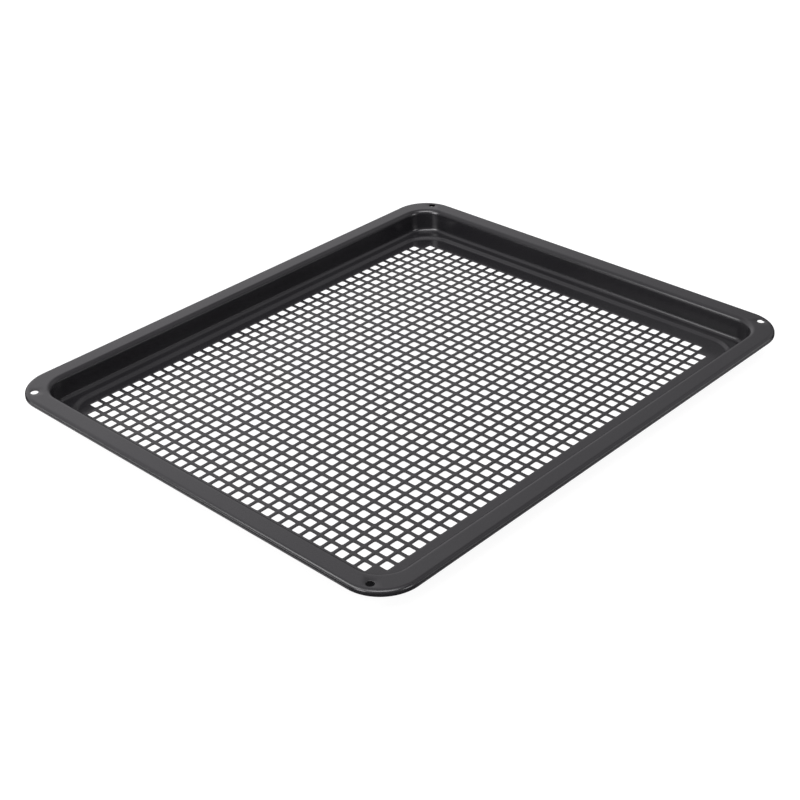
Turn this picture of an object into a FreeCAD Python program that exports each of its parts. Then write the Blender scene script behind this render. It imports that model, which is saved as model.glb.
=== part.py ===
import FreeCAD, Part
import math
import os

# Perforated oven tray for crisping food in hot air, pressed from one enamelled steel sheet.
# X runs along the long sides, Y along the short sides, Z up.
# The origin is on the underside of the floor, below the middle of the rim.
# All sizes are in millimetres and all angles in degrees.

# Overall size, with the height from the underside of the floor to the top of the rim
tray_length = 466.0
tray_width = 394.0
tray_height = 22.5
sheet = 0.8

# Rim: a straight lip turned down round the outside, a flat top, and the bend into the wall
lip_straight = 1.6
lip_bend = 2.8
rim_flat = 10.3
rim_bend = 4.1
outer_corner_radius = 31.4

# Wall, nearly upright, and the hollow bend at its foot. Its corners are rounder than the
# rim's outer corners would make them, so the rim is widest there.
wall_draft = 2.0
wall_foot_bend = 3.4
wall_corner_radius = 21.0

# Ledge round the floor, and the soft step from the ledge down to the floor. The step's corners
# are rounder again, so the ledge too is widest there.
ledge_height = 2.0
ledge_flat = 2.4
step_width = 5.5
floor_corner_radius = 24.0

# Square holes punched through the floor. The pressed tray has 7.3 mm holes 10.3 mm apart: here
# they are fewer and wider, within the same outline, so that the solid is light.
hole_pitch = 17.9
hole_side = 14.1
hole_margin = 8.4
field_shift_x = -2.7
field_shift_y = 3.1

# Round holes in the corners of the rim, by which the tray hangs while its enamel is fired
hang_hole = 6.0
hang_hole_to_short_side = 9.7
hang_hole_to_long_side = 20.6

# Distances in from the outer edge of the rim, which follow from the sizes above.
# A bend that turns through an angle takes up its reach on each of the two runs that it joins.
wall_bend_reach = math.tan(math.radians((90.0 - wall_draft) / 2))
ledge_top = sheet + ledge_height
rim_inner = lip_bend + rim_flat
rim_width = rim_inner + rim_bend * wall_bend_reach
wall_foot = rim_width + (tray_height - ledge_top) * math.tan(math.radians(wall_draft))
ledge_start = wall_foot + wall_foot_bend * wall_bend_reach
step_start = ledge_start + ledge_flat
floor_edge = step_start + step_width

# The point about which a corner turns, as the distance in from both outer edges: one for the lip,
# one for the wall, and one for the step
lip_pivot = outer_corner_radius
wall_pivot = rim_width + wall_corner_radius
step_pivot = floor_edge + floor_corner_radius

# The step is two equal arcs that meet half way down, each tangent to the level that it leaves
step_bend = (step_width ** 2 + ledge_height ** 2) / (4 * ledge_height)
step_reach = step_bend * ledge_height / step_width

# The upper face of the sheet in section, for the lip, the wall and the step: distance in from the
# outer edge of the rim, height, and the radius of the bend there, measured on the upper face
lip_corners = [
    (0.0, tray_height - lip_bend - lip_straight, None),
    (0.0, tray_height, lip_bend),
    (lip_bend, tray_height, None),
]
wall_corners = [
    (rim_inner, tray_height, None),
    (rim_width, tray_height, rim_bend),
    (wall_foot, ledge_top, wall_foot_bend),
    (ledge_start, ledge_top, None),
]
step_corners = [
    (step_start, ledge_top, None),
    (step_start + step_reach, ledge_top, step_bend),
    (floor_edge - step_reach, sheet, step_bend),
    (floor_edge, sheet, None),
]

up = FreeCAD.Vector(0, 0, 1)
origin = FreeCAD.Vector(0, 0, 0)
shortest_edge = 1e-4


def unit(vector):
    """The direction of a vector."""
    return vector * (1.0 / vector.Length)


def right_of(direction):
    """The direction a quarter turn clockwise, in the plane of the section."""
    return FreeCAD.Vector(direction.y, -direction.x, 0)


def straight(start, end):
    """The straight edge between two points, or nothing where two bends meet."""
    if start.distanceToPoint(end) < shortest_edge:
        return []
    return [Part.LineSegment(start, end).toShape()]


def folded_line(section_corners, depth):
    """Edges of a section's folded line, moved into the sheet by depth.

    Each fold is an arc tangent to its two runs. The steel lies on the right of the line,
    so a fold to the right gets tighter with depth, and a fold to the left gets wider.
    """
    points = [FreeCAD.Vector(inward, height, 0) for inward, height, bend in section_corners]
    runs = [unit(b - a) for a, b in zip(points, points[1:])]
    edges = []
    start = points[0] + right_of(runs[0]) * depth
    for point, before, after, corner in zip(points[1:], runs, runs[1:], section_corners[1:]):
        bend = corner[2]
        side = 1.0 if before.cross(after).z < 0 else -1.0
        reach = bend * math.tan(before.getAngle(after) / 2)
        centre = point - before * reach + right_of(before) * (side * bend)
        spoke = depth - side * bend
        arc_start = centre + right_of(before) * spoke
        arc_middle = centre + unit(right_of(before) + right_of(after)) * spoke
        arc_end = centre + right_of(after) * spoke
        edges += straight(start, arc_start)
        edges.append(Part.Arc(arc_start, arc_middle, arc_end).toShape())
        start = arc_end
    return edges + straight(start, points[-1] + right_of(runs[-1]) * depth)


def sheet_section(section_corners):
    """Closed section of the folded sheet, upright in the XZ plane, running inwards along -X."""
    upper = folded_line(section_corners, 0.0)
    lower = folded_line(section_corners, sheet)
    first_end = straight(upper[0].Vertexes[0].Point, lower[0].Vertexes[0].Point)
    last_end = straight(upper[-1].Vertexes[-1].Point, lower[-1].Vertexes[-1].Point)
    outline = Part.__sortEdges__(upper + lower + first_end + last_end)
    section = Part.Face(Part.Wire(outline))
    section.rotate(origin, FreeCAD.Vector(1, 0, 0), 90)
    section.rotate(origin, up, 180)
    return section


def side_and_corner(section_corners, pivot_inset, reach, run):
    """The +X side of a ring of folded sheet and the corner at its +Y end.

    reach is the distance from the middle of the tray to the outer edge of this side,
    and run is the length of the side's straight part.
    """
    section = sheet_section(section_corners)
    section.translate(FreeCAD.Vector(reach, run / 2, 0))
    side = section.extrude(FreeCAD.Vector(0, -run, 0))
    pivot = FreeCAD.Vector(reach - pivot_inset, run / 2, 0)
    corner = section.revolve(pivot, up, 90)
    return [side, corner]


def ring(section_corners, pivot_inset):
    """A section carried round the tray: four straight sides, and four turns about the pivots."""
    pieces = []
    for quarter in range(4):
        reach, other = tray_length / 2, tray_width / 2
        if quarter % 2:
            reach, other = other, reach
        for piece in side_and_corner(section_corners, pivot_inset, reach, 2 * (other - pivot_inset)):
            piece.rotate(origin, up, 90 * quarter)
            pieces.append(piece)
    return pieces


def flat_plate(inset, pivot_inset, base):
    """A flat part of the sheet with rounded corners, at a distance in from the rim's outer edge."""
    length = tray_length - 2 * inset
    width = tray_width - 2 * inset
    plate = Part.makeBox(length, width, sheet, FreeCAD.Vector(-length / 2, -width / 2, base))
    upright_edges = [edge for edge in plate.Edges if abs(edge.tangentAt(0).z) > 0.5]
    return plate.makeFillet(pivot_inset - inset, upright_edges)


def flat_ring(outer, inner, base):
    """A flat part of the sheet between two rounded outlines, each an inset and its pivot's inset."""
    return flat_plate(outer[0], outer[1], base).cut(flat_plate(inner[0], inner[1], base))


def square_punches():
    """One square punch for each hole, in as many rows and columns as the flat floor has room for.

    The four outermost corner holes are left out, clear of the rounded corners of the step.
    """
    room_along = tray_length - 2 * floor_edge - 2 * hole_margin - hole_side
    room_across = tray_width - 2 * floor_edge - 2 * hole_margin - hole_side
    columns = 1 + int(room_along / hole_pitch)
    rows = 1 + int(room_across / hole_pitch)
    first_x = field_shift_x - (columns - 1) * hole_pitch / 2 - hole_side / 2
    first_y = field_shift_y - (rows - 1) * hole_pitch / 2 - hole_side / 2
    punches = []
    for row in range(rows):
        for column in range(columns):
            if row in (0, rows - 1) and column in (0, columns - 1):
                continue
            foot = FreeCAD.Vector(first_x + column * hole_pitch, first_y + row * hole_pitch, -sheet)
            punches.append(Part.makeBox(hole_side, hole_side, 3 * sheet, foot))
    print("square holes:", columns, "by", rows, "less four corners, in all", len(punches))
    return punches


def hang_hole_punches():
    """One round punch for each corner of the rim."""
    punches = []
    for sign_x in (1, -1):
        for sign_y in (1, -1):
            x = sign_x * (tray_length / 2 - hang_hole_to_short_side)
            y = sign_y * (tray_width / 2 - hang_hole_to_long_side)
            foot = FreeCAD.Vector(x, y, tray_height - 2 * sheet)
            punches.append(Part.makeCylinder(hang_hole / 2, 3 * sheet, foot))
    return punches


def baking_tray():
    """The whole tray as one solid: its folded and flat parts joined, then punched."""
    rim_top = flat_ring((lip_bend, lip_pivot), (rim_inner, wall_pivot), tray_height - sheet)
    ledge = flat_ring((ledge_start, wall_pivot), (step_start, step_pivot), ledge_top - sheet)
    floor = flat_plate(floor_edge, step_pivot, 0)
    folded = ring(lip_corners, lip_pivot) + ring(wall_corners, wall_pivot) + ring(step_corners, step_pivot)
    blank = rim_top.multiFuse(folded + [ledge, floor]).removeSplitter()
    punches = Part.makeCompound(square_punches() + hang_hole_punches())
    return blank.cut(punches).Solids[0]


os.makedirs("parts", exist_ok=True)
tray = baking_tray()
tray.exportStep("parts/baking_tray.step")
print("distances in from the rim's edge to the wall and the floor", round(rim_width, 2), round(floor_edge, 2))
print("steel volume in cubic centimetres", round(tray.Volume / 1000, 1))
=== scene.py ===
# %% [markdown]
# # A perforated oven tray in black enamel
#
# The real tray starts as one flat sheet of steel. A press folds its border into a rim, a wall
# and a soft step, a punch cuts the grid of square holes, and the whole sheet is then dipped
# in enamel and fired. So there is one piece to make here, and it has one finish.
#
# The engineering model arrives as a fixed frame that gives the outer size and the place.
# It is loaded first, and its box is kept, since the dressed tray takes its outer size from it.

import math

import bpy
import numpy as np
from mathutils import Euler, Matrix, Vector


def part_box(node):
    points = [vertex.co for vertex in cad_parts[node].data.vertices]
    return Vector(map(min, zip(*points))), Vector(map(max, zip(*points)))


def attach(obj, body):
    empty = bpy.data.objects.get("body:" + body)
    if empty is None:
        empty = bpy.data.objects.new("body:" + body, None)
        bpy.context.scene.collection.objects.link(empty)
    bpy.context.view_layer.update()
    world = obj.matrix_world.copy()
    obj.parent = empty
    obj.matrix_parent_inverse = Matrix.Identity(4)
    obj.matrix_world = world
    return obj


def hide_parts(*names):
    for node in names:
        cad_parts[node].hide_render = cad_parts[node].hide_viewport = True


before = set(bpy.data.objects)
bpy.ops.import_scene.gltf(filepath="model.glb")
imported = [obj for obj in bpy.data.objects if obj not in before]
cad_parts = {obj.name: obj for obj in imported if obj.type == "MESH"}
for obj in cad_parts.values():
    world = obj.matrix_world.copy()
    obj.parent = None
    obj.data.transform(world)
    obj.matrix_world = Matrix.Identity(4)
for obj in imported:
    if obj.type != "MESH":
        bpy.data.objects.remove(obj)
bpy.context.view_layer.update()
tray_low, tray_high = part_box("baking_tray")

# %% [markdown]
# ## Sizes
#
# A folded sheet is fully described by its outer size, its thickness, the widths of its flats
# and the radii of its bends. The outer size is read from the frame. The rest are the sizes
# that a sheet metal worker would write on the drawing, here in metres.
#
# A bend that turns through an angle uses up some of the two runs that it joins. That reach
# is the radius times the tangent of half the turn, and the places of the folds follow from it.

# %% Sizes of the sheet and its folds
mm = 0.001
length, width, height = tray_high - tray_low
sheet = 0.8 * mm
lip_straight = 1.6 * mm
lip_bend = 2.8 * mm
rim_flat = 10.3 * mm
rim_bend = 4.1 * mm
outer_corner_radius = 31.4 * mm
wall_draft = math.radians(2.0)
wall_foot_bend = 3.4 * mm
wall_corner_radius = 21.0 * mm
ledge_top = sheet + 2.0 * mm
ledge_flat = 2.4 * mm
step_width = 5.5 * mm
floor_corner_radius = 24.0 * mm

wall_bend_reach = math.tan((math.pi / 2 - wall_draft) / 2)
rim_inner = lip_bend + rim_flat
rim_width = rim_inner + rim_bend * wall_bend_reach
wall_foot = rim_width + (height - ledge_top) * math.tan(wall_draft)
ledge_start = wall_foot + wall_foot_bend * wall_bend_reach
step_start = ledge_start + ledge_flat
floor_edge = step_start + step_width
step_drop = ledge_top - sheet
step_bend = (step_width ** 2 + step_drop ** 2) / (4 * step_drop)
step_reach = step_bend * step_drop / step_width
print("mm in from the edge: wall", round(rim_width / mm, 2), "and floor", round(floor_edge / mm, 2))

# %% [markdown]
# ## Sizes of the holes
#
# The floor has 38 by 31 square holes, less the four at the corners. The punch leaves bars
# 3.0 mm wide. Enamel rounds every punched edge a little, and it fills the corners of each
# square, so a hole is a rounded square with a soft lip above and below.

# %% Sizes of the holes
columns, rows = 38, 31
pitch = 10.3 * mm
hole_half = 7.3 * mm / 2
hole_corner = 0.9 * mm
edge_round = 0.25 * mm
field_shift_x, field_shift_y = -2.7 * mm, 3.1 * mm
crown_height = 1.2 * mm
hang_radius = 6.0 * mm / 2
hang_x = length / 2 - 9.7 * mm
hang_y = width / 2 - 20.6 * mm
line_x = field_shift_x + pitch * (np.arange(columns + 1) - columns / 2)
line_y = field_shift_y + pitch * (np.arange(rows + 1) - rows / 2)
print("holes:", columns * rows - 4, "and bars in mm:", round((pitch - 2 * hole_half) / mm, 2))

# %% [markdown]
# ## The folded section
#
# The border could be a box with bevelled edges, but its bends have four different radii and
# the sheet has two faces. So the section is worked out as a folded line: straight runs joined
# by tangent arcs. The same line, moved inwards by the thickness of the sheet, is the other face.
#
# A point of the section is one complex number, distance in from the rim's outer edge plus
# 1j times the height. Multiplying by -1j turns a direction a quarter turn to the right.
#
# Smooth shading blends the faces round each point. A wide flat next to a tight bend would
# catch a false gradient, so each straight run gets a row of points close to both its ends.

# %% Function for a folded line
hold = 0.4 * mm
folds = [
    # distance in, height, bend, steps of the arc, steps of the run that leads to it
    (0.0, height - lip_bend - lip_straight + sheet / 2, None, 0, 0),
    (0.0, height, lip_bend, 6, 1),
    (rim_width, height, rim_bend, 7, 5),
    (wall_foot, ledge_top, wall_foot_bend, 7, 2),
    (step_start + step_reach, ledge_top, step_bend, 4, 1),
    (floor_edge - step_reach, sheet, step_bend, 4, 0),
    (floor_edge + hold, sheet, None, 0, 0),
]


def folded_line(depth):
    """Points of the folded line, moved into the sheet by depth.

    The centre of a bend stands on the inner side of the fold, one radius from both runs.
    The arc's points are the centre plus a spoke, which turns through the angle of the fold.
    The sheet lies on the right of the line, so a spoke is shorter by depth where the fold
    goes right, and longer where it goes left.
    """
    points = np.array([inward + 1j * level for inward, level, _, _, _ in folds])
    runs = np.diff(points) / abs(np.diff(points))
    line = [points[:1] - 1j * runs[:1] * depth]
    for point, before, after, fold in zip(points[1:], runs, runs[1:], folds[1:]):
        _, _, bend, arc_steps, run_steps = fold
        turn = np.angle(after / before)
        side = -np.sign(turn)
        centre = point - before * bend * (np.tan(abs(turn) / 2) + 1j * side)
        spokes = -1j * before * np.exp(1j * turn * np.linspace(0, 1, arc_steps + 1))
        arc = centre + spokes * (depth - side * bend)
        if run_steps:
            run_start, run_end = line[-1][-1] + before * hold, arc[0] - before * hold
            line.append(np.linspace(run_start, run_end, run_steps + 1))
        line.append(arc if run_steps else arc[1:])
    line.append(points[-1:] - 1j * runs[-1:] * depth)
    return np.concatenate(line)


upper = folded_line(0.0)
under = folded_line(sheet)
print("points on each face of the section:", len(upper))

# %% [markdown]
# The cut edge of the lip is the only place where the section ends. Enamel gathers there into
# a round bead as thick as the sheet, so a half circle joins the two faces. The whole section
# is then one line: along the under face to the lip, round the bead, and back on top.

# %% Join both faces at the lip's edge
bead_points = 4
bead_turn = np.linspace(0, np.pi, bead_points + 2)[1:-1]
bead = (upper[0] + under[0]) / 2 + sheet / 2 * np.exp(-1j * bead_turn)
section = np.concatenate([under[::-1], bead, upper])
section_edge = np.concatenate([np.zeros(len(under)), np.ones(len(bead)), np.zeros(len(upper))])
print("points in the closed section:", len(section))

# %% [markdown]
# ## The path of the border
#
# The border follows a rounded rectangle. Each station of the path has a pivot and a direction
# outwards: along a side the pivot moves and the direction stays, and round a corner the pivot
# stays and the direction turns. A section point lies at the pivot plus the direction times
# the corner radius less its distance in, so sides and corners need only one formula.
#
# The lip, the wall and the step don't turn about the same pivots: each is rounder at its
# corners than a turn about the last pivot would make it, and the flat rim and the ledge pass
# from one pivot to the next. So a station keeps its pivot as a sum, the point of a sharp
# cornered rectangle less the pivot's inset times a direction. Along a side the stations
# stand a little closer than the holes.
#
# The plan view is complex too: x plus 1j times y, and each side is a quarter turn of the last.

# %% Stations round the tray
corner_steps = 18
sharp_points, insets, outwards = [], [], []
for quarter, (across, along) in enumerate([(length, width), (width, length)] * 2):
    side_steps = round((along - 2 * outer_corner_radius) / pitch)
    part_of_run = np.concatenate([np.linspace(-1, 1, side_steps + 1), np.ones(corner_steps - 1)])
    turn = np.concatenate([np.zeros(side_steps), np.linspace(0, np.pi / 2, corner_steps + 1)[:-1]])
    outward = 1j ** quarter
    sharp_points.append(outward * (across + 1j * part_of_run * along) / 2)
    insets.append(outward * (1 + 1j * part_of_run))
    outwards.append(outward * np.exp(1j * turn))
path = (sharp_points, insets, outwards)
sharp_points, insets, outwards = (np.concatenate(parts) for parts in path)
print("stations round the tray:", len(outwards))

# %% [markdown]
# ## Collecting the mesh
#
# Everything is added to one mesh, because the tray is one sheet: points are shared where
# the floor meets the border and where a hole meets a bar, so the surface is closed.
#
# Most of the faces lie between two loops with the same number of points: rows of the border,
# the ring from the border to the floor, and the walls of each hole. One helper makes them all.
# With the first loop outside and running anticlockwise, the faces look at the viewer, and
# with the loops swapped they look away, which is what the under face needs.

# %% Helpers that collect points and faces
points, edge_marks, faces = [], [], []


def add_points(plan, level, mark):
    """Add points given by plan place (complex), height and edge mark.

    Returns the points' numbers, in an array of the same shape.
    """
    plan, level, mark = np.broadcast_arrays(plan, level, mark)
    first = sum(len(part) for part in points)
    points.append(np.stack([plan.real, plan.imag, level], axis=-1).reshape(-1, 3))
    edge_marks.append(mark.ravel())
    return first + np.arange(plan.size).reshape(plan.shape)


def add_faces(corners):
    """Add faces given by the numbers of their points, three or four along the last axis."""
    faces.append(corners.reshape(-1, corners.shape[-1]))


def between(first, second):
    """Quads between closed loops.

    Each is a point and the next one on the first loop, then the same two on the second.
    """
    return np.stack([first, np.roll(first, -1, -1), np.roll(second, -1, -1), second], axis=-1)


# %% [markdown]
# ## Rim, wall, ledge and step
#
# The border is the section carried along the path: the grid of all section points at all
# stations. The four round holes in the rim are made by leaving a patch of the grid out, on
# both faces of the sheet, and joining the patch's outline to a circle. A boolean cut would
# do it too, but it leaves long thin faces that show as creases in a glossy finish.

# %% Border grid with a patch left out at each hang hole
patch_reach = 3
same_level = 1e-9
inward = section.real[:, None]
step_pivot = floor_edge + floor_corner_radius
turning_points = [outer_corner_radius] + 2 * [rim_width + wall_corner_radius] + [step_pivot]
pivot_inset = np.interp(inward, [lip_bend, rim_inner, ledge_start, step_start], turning_points)
border_plan = sharp_points - pivot_inset * insets + (pivot_inset - inward) * outwards
border = add_points(border_plan, section.imag[:, None], section_edge[:, None])
border_quads = between(border[:-1], border[1:])
rim_rows = np.flatnonzero(abs(section.imag - height) < same_level)[1:-1]
rim_rows_under = np.flatnonzero(abs(section.imag - (height - sheet)) < same_level)[-2:0:-1]
middle_row = border_plan[rim_rows[len(rim_rows) // 2]]
patch_columns = []
for sign_x, sign_y in ((1, 1), (-1, 1), (-1, -1), (1, -1)):
    nearest = abs(middle_row - (sign_x * hang_x + 1j * sign_y * hang_y)).argmin()
    patch_columns.append(np.arange(nearest - patch_reach, nearest + patch_reach + 1))
kept = np.ones(border_quads.shape[:2], bool)
for patch in patch_columns:
    kept[np.ix_(rim_rows[:-1], patch[:-1])] = False
    kept[np.ix_(rim_rows_under[1:], patch[:-1])] = False
add_faces(border_quads[kept])
print("border points:", border.size, "faces:", int(kept.sum()))

# %% [markdown]
# ## Hang holes
#
# The tray hangs by four round holes while its enamel is fired. Each is a stack of circles:
# the soft edge on top, the wall, and the soft edge underneath. The soft edges are quarter
# circles of the sheet's section, here with one point half way round.

# %% Stack of loops for a hole, and the hang holes
soft = edge_round * (1 - math.sqrt(0.5))
hole_layers = [
    # how far out from the hole's wall, how far from a face of the sheet, whether that is the
    # upper face, and how thin the enamel is
    (edge_round, 0.0, 1, 0.3),
    (soft, soft, 1, 1.0),
    (0.0, edge_round, 1, 0.6),
    (0.0, edge_round, 0, 0.6),
    (edge_round, 0.0, 0, 0.3),
]
for patch in patch_columns:
    outlines = []
    for patch_rows in (rim_rows, rim_rows_under):
        block = border[np.ix_(patch_rows, patch)]
        block_sides = [block[0, :-1], block[:-1, -1], block[-1, :0:-1], block[:0:-1, 0]]
        outlines.append(np.concatenate(block_sides))
    # the border's points were added first, so their numbers count within points[0]
    corners = points[0][outlines[0]]
    outline_plan = corners[:, 0] + 1j * corners[:, 1]
    centre = hang_x * np.sign(corners[0, 0]) + 1j * hang_y * np.sign(corners[0, 1])
    spokes = (outline_plan - centre) / abs(outline_plan - centre)
    loops = [outlines[0]]
    for out, down, on_top, mark in hole_layers:
        level = height - down if on_top else height - sheet + down
        loops.append(add_points(centre + spokes * (hang_radius + out), level, mark))
    loops.append(outlines[1])
    add_faces(between(np.array(loops[:-1]), np.array(loops[1:])))
print("points on each hang hole's edge:", len(spokes))

# %% [markdown]
# ## The floor
#
# A wide flat floor would drum and warp in the heat, so the press gives it a slight crown.
# The crown here is a product of two parabolas: full height in the middle and nothing at the
# step. The floor's two faces start as the crossings of the lines between the holes. The step's
# corners leave no room for the outermost crossings, so these are pulled in towards the pivot.
#
# The border's last row is stitched to the outline of the crossings: each station meets the
# crossing that is nearest to it. From one station to the next the crossing stays the same,
# which makes a triangle, or is the next one, which makes a quad.

# %% Crown and the crossings of both faces
clear_of_step = 2.0 * mm
floor_half_x = length / 2 - floor_edge - hold
floor_half_y = width / 2 - floor_edge - hold


def crown(plan):
    """Rise of the floor at a plan place.

    It is the crown's height times one parabola along the floor and one across it.
    """
    along, across = plan.real / floor_half_x, plan.imag / floor_half_y
    return crown_height * (1 - along ** 2) * (1 - across ** 2)


crossing_plan = line_x[:, None] + 1j * line_y
outermost = np.ix_([0, -1], [0, -1])
signs = np.sign(line_x[[0, -1], None]) + 1j * np.sign(line_y[[0, -1]])
step_pivots = signs.real * (length / 2 - step_pivot) + 1j * signs.imag * (width / 2 - step_pivot)
away = crossing_plan[outermost] - step_pivots
pull = np.minimum(1, (floor_corner_radius - clear_of_step) / abs(away))
crossing_plan[outermost] = step_pivots + away * pull
top_crossing = add_points(crossing_plan, sheet + crown(crossing_plan), 0.0)
under_crossing = add_points(crossing_plan, crown(crossing_plan), 0.0)

outline = [np.s_[-1, :-1], np.s_[:0:-1, -1], np.s_[0, :0:-1], np.s_[:-1, 0]]
outline_plan = np.concatenate([crossing_plan[part] for part in outline])
met = abs(border_plan[-1][:, None] - outline_plan).argmin(axis=1)
top_met = np.concatenate([top_crossing[part] for part in outline])[met]
under_met = np.concatenate([under_crossing[part] for part in outline])[met]
top_ring, under_ring = between(border[-1], top_met), between(under_met, border[0])
fan = met == np.roll(met, -1)
add_faces(top_ring[~fan])
add_faces(top_ring[fan][:, :3])
add_faces(under_ring[~fan])
add_faces(under_ring[fan][:, 1:])
print("largest step from crossing to crossing:", max((np.roll(met, -1) - met) % len(outline_plan)))

# %% [markdown]
# ## The square holes
#
# Over a thousand holes would make any modifier slow, and each may have well under a hundred
# faces. So one hole is laid out once, as five loops of twelve points, and numpy repeats it
# at every centre. The square around each hole is shared with its neighbours through the
# crossings, and the four corner squares stay plain, as on the real tray.

# %% Rounded square, repeated at every hole
quarter_turns = 1j ** np.arange(4)[:, None]
arc_of_corner = np.exp(1j * np.linspace(0, np.pi / 2, 3))


def rounded_square(out):
    """Loop of twelve points, for a hole that is wider by out on every side.

    Each corner is a small arc about a point one corner radius in from both sides.
    """
    inner = (hole_half - hole_corner) * (1 + 1j)
    return (quarter_turns * (inner + (hole_corner + out) * arc_of_corner)).ravel()


column, row = np.divmod(np.arange(columns * rows), rows)
plain = np.isin(column, (0, columns - 1)) & np.isin(row, (0, rows - 1))
cell_corners = [(1, 1), (0, 1), (0, 0), (1, 0)]
top_cells = np.stack([top_crossing[column + i, row + j] for i, j in cell_corners], axis=-1)
under_cells = np.stack([under_crossing[column + i, row + j] for i, j in cell_corners], axis=-1)
centres = (line_x[column] + 1j * line_y[row] + pitch / 2 * (1 + 1j))[~plain, None]
loops = []
for out, down, on_top, mark in hole_layers:
    plan = centres + rounded_square(out)
    level = crown(plan) + (sheet - down if on_top else down)
    loops.append(add_points(plan, level, mark))
add_faces(between(np.array(loops[:-1]), np.array(loops[1:])))
print("square holes:", len(centres), "points on each edge:", loops[0].shape[1])

# %% [markdown]
# Between a hole's outermost loop and its square lie four quads along the sides and two
# triangles at each corner. The under face has the same faces, turned round.

# %% Faces round each hole, and the four plain squares
for cells, loop, order in ((top_cells, loops[0], 1), (under_cells, loops[-1], -1)):
    cell, last = cells[~plain], loop[:, 2::3]
    following = np.roll(loop[:, 0::3], -1, axis=1)
    add_faces(np.stack([cell, np.roll(cell, -1, axis=1), following, last], axis=-1)[..., ::order])
    add_faces(np.stack([cell, loop[:, 1::3], loop[:, 0::3]], axis=-1)[..., ::order])
    add_faces(np.stack([cell, last, loop[:, 1::3]], axis=-1)[..., ::order])
    add_faces(cells[plain][:, ::order])

# %% [markdown]
# ## One closed sheet
#
# Now the arrays become a mesh. A closed surface has every edge in exactly two faces, and
# its volume, summed over the faces, has to be that of the steel, which is a good test of
# the direction of every face: a single patch turned inside out would spoil it.

# %% Make the tray's mesh and test that it is closed
mesh = bpy.data.meshes.new("baking_tray_enamel")
places = np.concatenate(points)
mesh.from_pydata(places.tolist(), [], [corners for part in faces for corners in part.tolist()])
mesh.polygons.foreach_set("use_smooth", np.ones(len(mesh.polygons), bool))
thin_enamel = mesh.attributes.new("thin_enamel", "FLOAT", "POINT")
thin_enamel.data.foreach_set("value", np.concatenate(edge_marks))
mesh.update()
tray = bpy.data.objects.new("baking_tray_enamel", mesh)
bpy.context.collection.objects.link(tray)

halves = [part[:, [0, i, i + 1]] for part in faces for i in range(1, part.shape[1] - 1)]
halves = np.concatenate(halves)
a, b, c = (places[halves[:, i]] for i in range(3))
volume = np.einsum("ij,ij->i", a, np.cross(b, c)).sum() / 6
edges = [np.stack([part, np.roll(part, -1, 1)], -1).reshape(-1, 2) for part in faces]
edge_uses = np.unique(np.sort(np.concatenate(edges), 1), axis=0, return_counts=True)[1]
print("triangles:", len(halves), "edges not in two faces:", int((edge_uses != 2).sum()))
print("volume of steel and enamel in cubic centimetres:", round(volume * 1e6, 1))

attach(tray, "root")
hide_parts("baking_tray")

# %% [markdown]
# ## Writing shaders as sums
#
# A node tree is easier to read as a formula. The class below wraps a socket, so that
# `0.2 + 0.1 * cloud` adds the Math nodes by itself. Every other kind of node comes from one
# method: its settings are given first, then the values or links of its sockets.

# %% Class for shader maths
class Wire:
    """An output socket: +, * and a number minus it add Math nodes."""

    def __init__(self, tree, socket=None):
        self.tree = tree
        self.socket = socket

    def node(self, kind, settings, sockets, output=0):
        """Add a node: set its settings, then give its sockets their values or links."""
        node = self.tree.nodes.new(kind)
        for name, value in settings.items():
            setattr(node, name, value)
        for name, value in sockets.items():
            if isinstance(value, Wire):
                self.tree.links.new(value.socket, node.inputs[name])
            else:
                node.inputs[name].default_value = value
        return Wire(self.tree, node.outputs[output])

    def math(self, operation, first, second):
        """One sum, difference or product of two numbers."""
        return self.node("ShaderNodeMath", {"operation": operation}, {0: first, 1: second})

    def __add__(self, other):
        return self.math("ADD", self, other)

    def __rsub__(self, other):
        return self.math("SUBTRACT", other, self)

    def __mul__(self, other):
        return self.math("MULTIPLY", self, other)

    __radd__ = __add__
    __rmul__ = __mul__

    def step(self, low, high):
        """Smooth step from 0 at low to 1 at high."""
        sockets = {"Value": self, "From Min": low, "From Max": high}
        return self.node("ShaderNodeMapRange", {"interpolation_type": "SMOOTHSTEP"}, sockets)

    def noise(self, place, scale, detail):
        """Smooth noise from 0 to 1, with scale waves to the metre and detail finer layers."""
        sockets = {"Vector": place, "Scale": scale, "Detail": detail}
        return self.node("ShaderNodeTexNoise", {}, sockets)

    def blend(self, amount, first, second):
        """Mix two colours by an amount from 0 to 1.

        The Mix node keeps its colours after its numbers and vectors: they go into sockets
        6 and 7, and come out of the third output.
        """
        sockets = {0: amount, 6: first, 7: second}
        return self.node("ShaderNodeMix", {"data_type": "RGBA"}, sockets, output=2)


# %% [markdown]
# ## The enamel
#
# Oven enamel is black glass, about a tenth of a millimetre thick, fused to the steel. Its
# depth of colour is one thing and its surface another:
#
# * the glass is nearly black, with a hint of violet, and drifts a little lighter and back;
# * it sets with an orange peel: waves some 4 mm long and only hundredths of a millimetre high;
# * fine bubbles leave a grain of under half a millimetre, which softens the gloss;
# * at the punched edges it draws back and fires thin, so it is greyer and duller there.
#
# All of it reads Object coordinates, in metres, so a scale of 250 means waves of 4 mm.
# The edges come from the mesh's own attribute, which the holes and the lip's bead carry.

# %% Enamel material
enamel = bpy.data.materials.new("black_enamel")
enamel.use_nodes = True
tree = enamel.node_tree
shader = tree.nodes["Principled BSDF"]
wire = Wire(tree)

place = wire.node("ShaderNodeTexCoord", {}, {}, output="Object")
thin = wire.node("ShaderNodeAttribute", {"attribute_name": "thin_enamel"}, {}, output="Fac")
cloud = wire.noise(place, 14.0, detail=3.0)
peel = wire.noise(place, 250.0, detail=1.0)
grain = wire.noise(place, 2600.0, detail=2.0)

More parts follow.
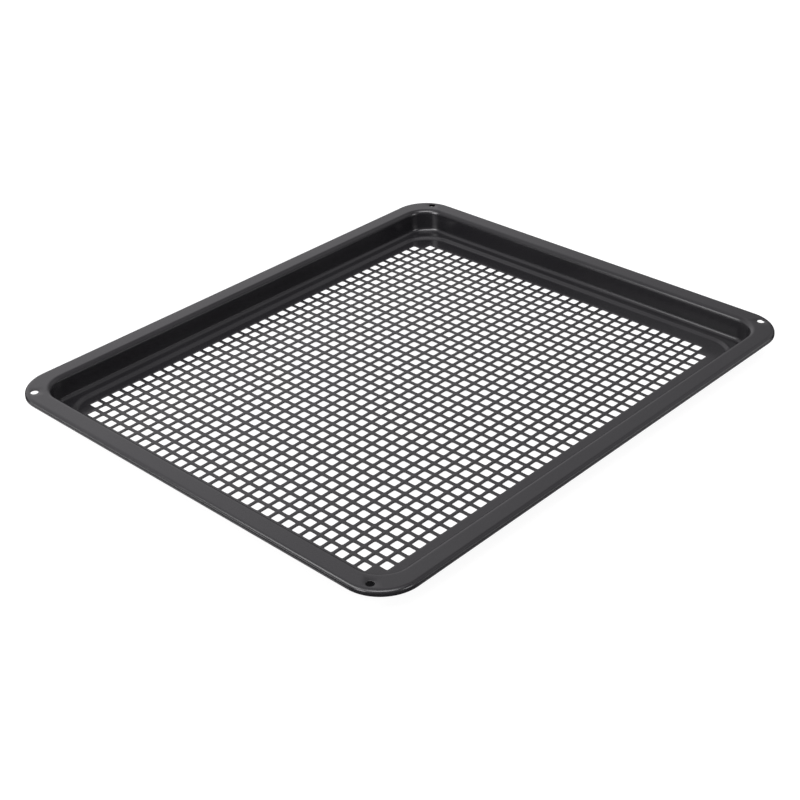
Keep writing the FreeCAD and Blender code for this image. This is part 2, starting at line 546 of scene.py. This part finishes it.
dark_glass, pale_glass = (0.0089, 0.0085, 0.0097, 1), (0.0112, 0.0109, 0.0120, 1)
bubble_grey, edge_grey = (0.022, 0.022, 0.023, 1), (0.020, 0.019, 0.019, 1)
glass = wire.blend(cloud.step(0.3, 0.7), dark_glass, pale_glass)
glass = wire.blend(grain.step(0.45, 0.8) * 0.35, glass, bubble_grey)
colour = wire.blend(thin * 0.6, glass, edge_grey)
roughness = 0.17 + 0.06 * cloud + 0.05 * grain + 0.10 * thin
relief = peel * 0.8 + grain * 0.2
relief_height = 0.03 * mm
sockets = {"Height": relief, "Distance": relief_height, "Strength": 1.0}
bump = wire.node("ShaderNodeBump", {}, sockets)

refractive_index = 1.5
shader.inputs["IOR"].default_value = refractive_index
for socket, value in (("Base Color", colour), ("Roughness", roughness), ("Normal", bump)):
    tree.links.new(value.socket, shader.inputs[socket])
mesh.materials.append(enamel)
print("nodes in the enamel:", len(tree.nodes))

# %% [markdown]
# ## The studio
#
# The tray stands on a plain white table that runs out of the picture. Black enamel shows
# little but what it reflects, so the light is mostly a matter of what surrounds the tray.
# The table glows, so that it stays white up to the tray's edge and under its holes. It is
# left out of reflections, as if it were glass over a dark room: otherwise the walls of the
# tray, which reflect downwards, would turn as pale as the table.

# %% Table
table_side = 8.0
table_gap = 0.2 * mm
bpy.ops.mesh.primitive_plane_add(size=table_side, location=(0, 0, -table_gap))
table = bpy.context.object
table.name = "table"
table.visible_glossy = False
paint = bpy.data.materials.new("table_white")
paint.use_nodes = True
finish = {
    "Base Color": (0.12, 0.12, 0.12, 1),
    "Roughness": 0.9,
    "Emission Color": (1, 1, 1, 1),
    "Emission Strength": 0.93,
}
for socket, value in finish.items():
    paint.node_tree.nodes["Principled BSDF"].inputs[socket].default_value = value
table.data.materials.append(paint)

# %% [markdown]
# The tent round the table is a sum of patches of light on the sky, and each has its work:
#
# * a pale dome, weaker high up, brighter on the left and a little on the right, shows in the
#   flat rim and the floor;
# * one patch straight above shows in the bend of the rim at the far corner;
# * three small bright ones, high above the camera and on its left, draw the thin highlights
#   round the far and the near corner;
# * two faint ones under the level of the table show in the upright lips on the near sides;
# * two small strong ones, low on both sides of the camera, graze the floor's plain margin on
#   their way to the wall of the far corner, where they show as pale upright strips.
#
# A patch is a smooth step of the angle between a direction and the patch's middle. The dot
# product of the two directions is the cosine of that angle.

# %% Tent of light
world = bpy.data.worlds.new("tent")
world.use_nodes = True
sky = Wire(world.node_tree)
direction = sky.node("ShaderNodeTexCoord", {}, {}, output="Generated")


def heading(azimuth, elevation):
    """Unit vector towards an azimuth, counted from +X to +Y, and an elevation, both in degrees."""
    a, e = math.radians(azimuth), math.radians(elevation)
    return math.cos(a) * math.cos(e), math.sin(a) * math.cos(e), math.sin(e)


def patch_of_light(azimuth, elevation, full, none):
    """1 within one angle of the patch's middle and 0 beyond the other, all in degrees."""
    sockets = {0: direction, 1: heading(azimuth, elevation)}
    cosine = sky.node("ShaderNodeVectorMath", {"operation": "DOT_PRODUCT"}, sockets, output="Value")
    return cosine.step(math.cos(math.radians(none)), math.cos(math.radians(full)))


dome = patch_of_light(0, 90, 82, 91) * (1 - 0.35 * patch_of_light(0, 90, 32, 46))
sides = 0.27 + 0.74 * patch_of_light(85, 25, 20, 59) + 0.35 * patch_of_light(340, 40, 15, 35)
overhead = 0.8 * patch_of_light(0, 90, 20, 30)
behind = 6.0 * patch_of_light(203, 64, 9, 17) + 6.0 * patch_of_light(247, 64, 9, 17)
behind = behind + 2.0 * patch_of_light(178, 47, 14, 24)
below = 0.9 * patch_of_light(118, -36, 13, 24) + 0.6 * patch_of_light(334, -38, 12, 23)
grazing = 8.5 * patch_of_light(175, 21, 7, 12) + 6.0 * patch_of_light(281, 21, 7, 12)
brightness = dome * sides + overhead + behind + below + grazing
backdrop = world.node_tree.nodes["Background"]
backdrop.inputs["Color"].default_value = (1.0, 0.98, 1.01, 1)
world.node_tree.links.new(brightness.socket, backdrop.inputs["Strength"])
bpy.context.scene.world = world
print("nodes in the tent:", len(world.node_tree.nodes))

# %% [markdown]
# Three softboxes stand nearer than the tent. The key light on the left draws the bright
# lines along the bends. Two low strips, one on each near side, light the foot of the lip's
# bend, which looks out level across the table.
#
# A softbox is an area light turned to face the tray. Its power is worked out from the
# brightness that it should show in a reflection: power is brightness times pi times area.
# The camera doesn't see it, so that no other view of the tray has a lamp in the picture.

# %% Softboxes


def softbox(name, azimuth, elevation, distance, wide, tall, brightness):
    """Area light that faces the tray, with its angles in degrees and the rest in metres."""
    lamp = bpy.data.lights.new(name, "AREA")
    lamp.shape = "RECTANGLE"
    lamp.size, lamp.size_y = wide, tall
    lamp.energy = brightness * math.pi * wide * tall
    box = bpy.data.objects.new(name, lamp)
    box.location = [distance * part for part in heading(azimuth, elevation)]
    box.rotation_euler = Euler((math.radians(90 - elevation), 0, math.radians(azimuth + 90)))
    box.visible_camera = False
    bpy.context.collection.objects.link(box)


softbox("key_left", 158, 42, 0.97, 0.5, 0.45, 5.0)
softbox("low_left", 150, 3, 0.70, 0.50, 0.09, 3.8)
softbox("low_right", 302, 3, 0.68, 0.55, 0.09, 3.0)

# %% [markdown]
# ## The camera
#
# The photograph was matched by its grid of holes, which gives the place, the direction and
# the angle of view. The picture is square, so the lens follows from the focal length in
# pixels, the width of the picture and the width of the sensor.

# %% Camera
picture_width = 800
focal_pixels = 1522.96
camera_angles = (58.822, 1.593, -46.808)
camera_data = bpy.data.cameras.new("camera")
camera_data.sensor_width = 36.0
camera_data.lens = focal_pixels / picture_width * camera_data.sensor_width
camera = bpy.data.objects.new("camera", camera_data)
camera.location = (-741.59 * mm, -710.39 * mm, 603.62 * mm)
camera.rotation_euler = Euler([math.radians(angle) for angle in camera_angles])
bpy.context.collection.objects.link(camera)
bpy.context.scene.camera = camera
bpy.context.scene.view_settings.view_transform = "Standard"
print("lens in mm:", round(camera_data.lens, 2))
